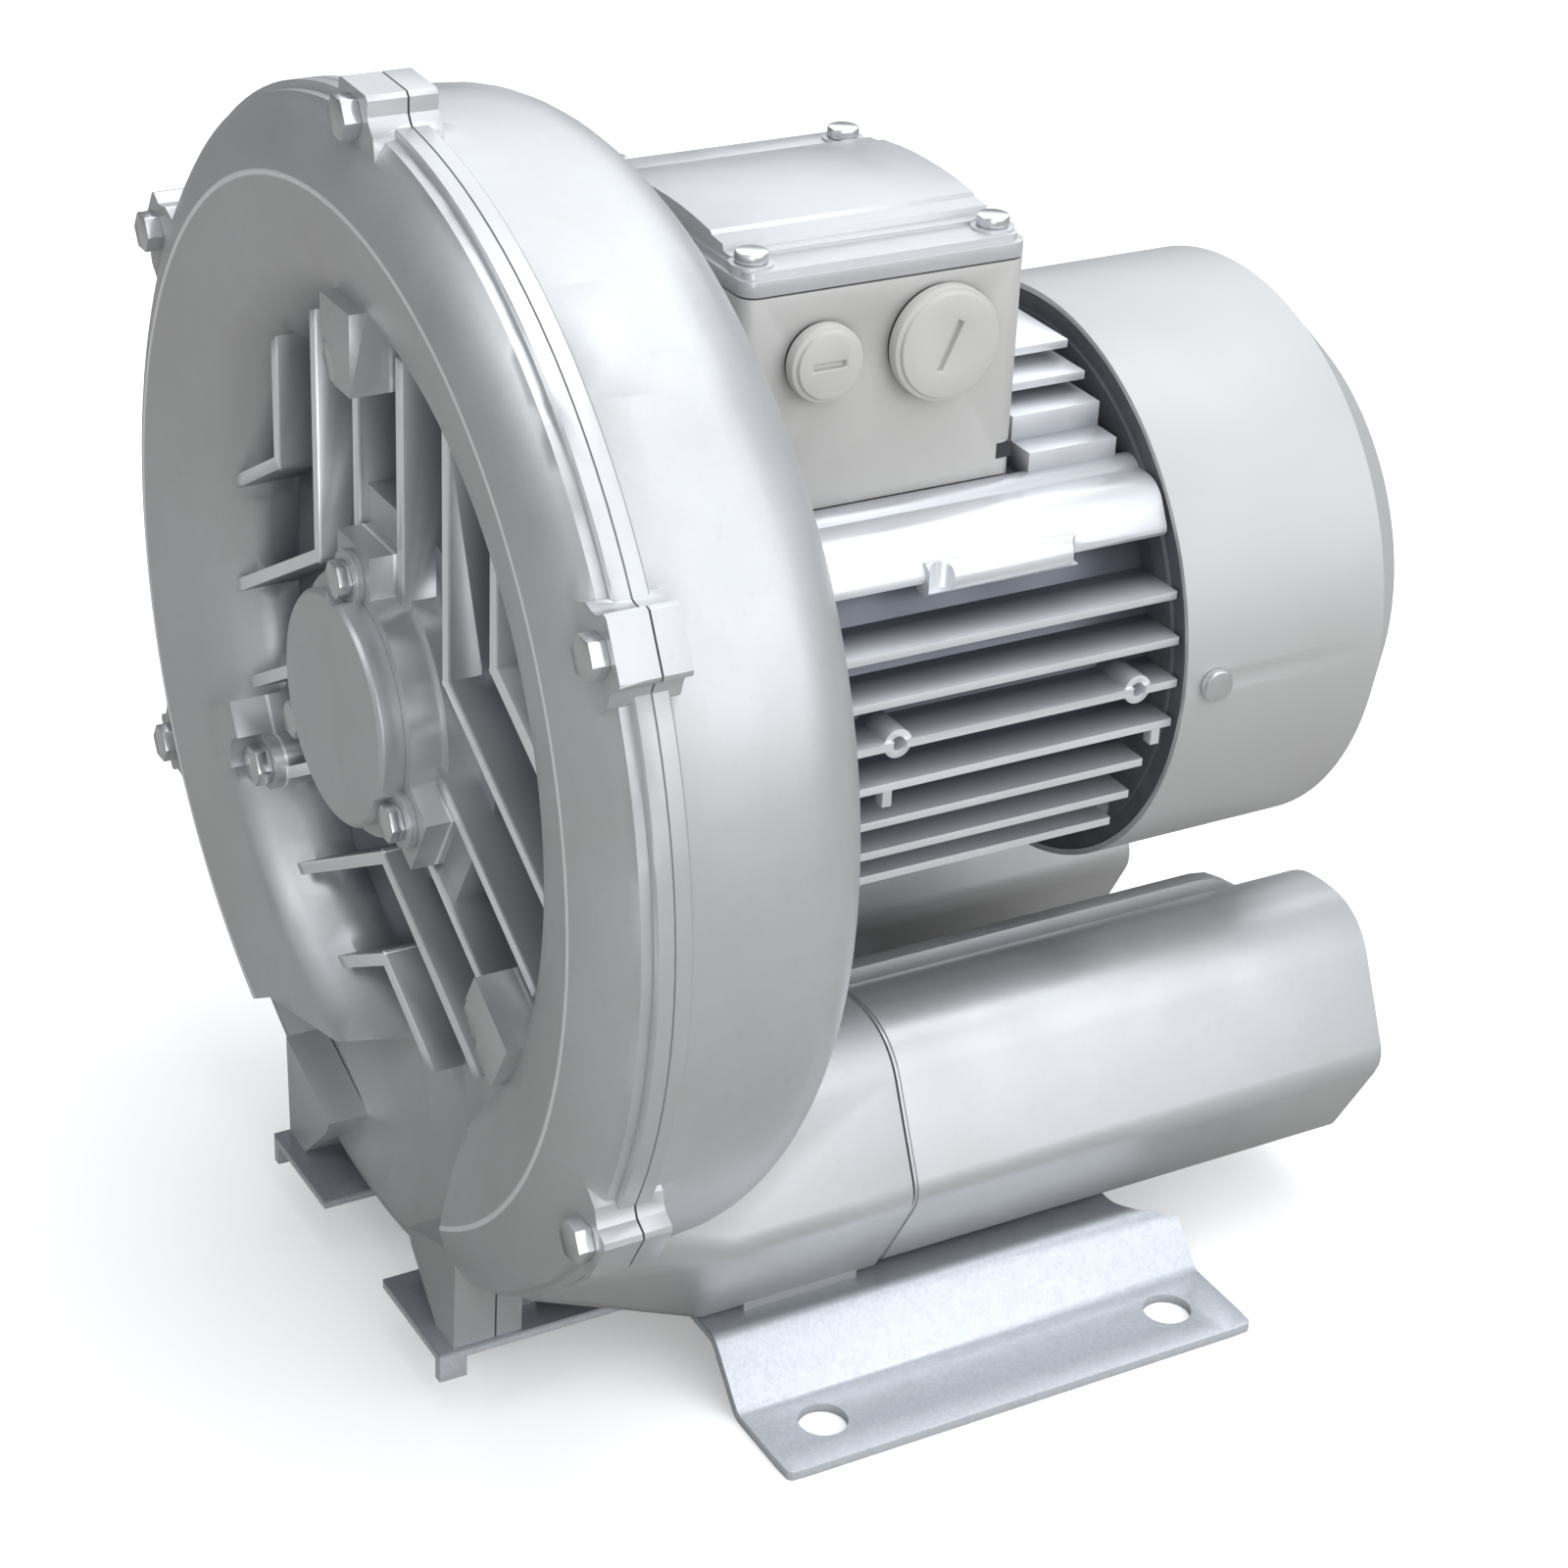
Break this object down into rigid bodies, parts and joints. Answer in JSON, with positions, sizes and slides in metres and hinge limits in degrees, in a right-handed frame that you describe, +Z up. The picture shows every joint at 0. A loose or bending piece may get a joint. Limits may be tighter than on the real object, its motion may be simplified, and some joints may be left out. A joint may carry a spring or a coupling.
{
  "type": "side channel air blower",
  "caption": "Side channel air blower: a motor with a terminal box turns a bladed impeller in a cast ring housing; two silencer tubes carry the ports and sheet feet hold it.",
  "frame": {"origin": "on the floor, in the middle of the four foot holes", "axes": "+Z up, the shaft along Y, the round front cover facing -Y, the ports facing +Y"},
  "size_m": [0.279, 0.257, 0.3046],
  "materials": {
    "cast_aluminium": "satin die-cast aluminium with a fine grain",
    "frame_aluminium": "satin cast aluminium, a little darker",
    "cover_sheet": "smooth silver paint on sheet steel",
    "zinc_steel": "bright zinc-plated steel",
    "foot_steel": "zinc-plated sheet steel",
    "bearing_steel": "ground steel",
    "core_steel": "stacked sheet steel, lightly oiled",
    "copper_wire": "varnished copper wire",
    "box_paint": "light warm grey paint, satin",
    "plug_plastic": "light grey moulded plastic",
    "seal_rubber": "matt black rubber",
    "gasket_fibre": "pale grey pressed fibre",
    "foam_black": "black open foam",
    "black_plastic": "moulded black plastic",
    "brass": "bright brass"
  },
  "bodies": {
    "root": {"front_cover": "cast_aluminium", "bearing_cap": "cast_aluminium", "bearing_cap_screws": "zinc_steel", "boss_bolts": "zinc_steel", "joint_gasket": "gasket_fibre", "joint_bolts": "zinc_steel", "blower_housing": "cast_aluminium", "cover_seal_ring": "seal_rubber", "housing_seal_ring": "seal_rubber", "front_bearing_outer_ring": "bearing_steel", "wave_spring": "bearing_steel", "motor_frame": "frame_aluminium", "stator_core": "core_steel", "stator_windings": "copper_wire", "end_shield": "cast_aluminium", "rear_bearing_outer_ring": "bearing_steel", "tie_bolts": "zinc_steel", "fan_cover": "cover_sheet", "fan_cover_screws": "zinc_steel", "terminal_box": "box_paint", "terminal_box_seal": "seal_rubber", "terminal_box_lid": "box_paint", "lid_screws": "zinc_steel", "terminal_block": "black_plastic", "terminal_studs": "brass", "large_blanking_plug": "plug_plastic", "small_blanking_plug": "plug_plastic", "plug_seals": "seal_rubber", "earth_screw": "brass", "silencer_tube_right": "cast_aluminium", "silencer_tube_left": "cast_aluminium", "silencer_liner_right": "foam_black", "silencer_liner_left": "foam_black", "silencer_gaskets": "seal_rubber", "foot_right": "foot_steel", "foot_left": "foot_steel", "foot_bolts": "zinc_steel"},
    "rotor": {"shaft": "bearing_steel", "impeller": "cast_aluminium", "impeller_key": "bearing_steel", "spacer_sleeve": "bearing_steel", "front_bearing_inner_ring": "bearing_steel", "rear_bearing_inner_ring": "bearing_steel", "shaft_circlip": "bearing_steel", "rotor_core": "core_steel", "rotor_end_rings": "cast_aluminium", "cooling_fan": "black_plastic", "fan_clip": "bearing_steel"}
  },
  "joints": [
    {"name": "rotor_spin", "type": "hinge", "parent": "root", "child": "rotor", "pos_m": [0, 0, 0.1585], "axis": [0, 1, 0], "continuous": true}
  ]
}
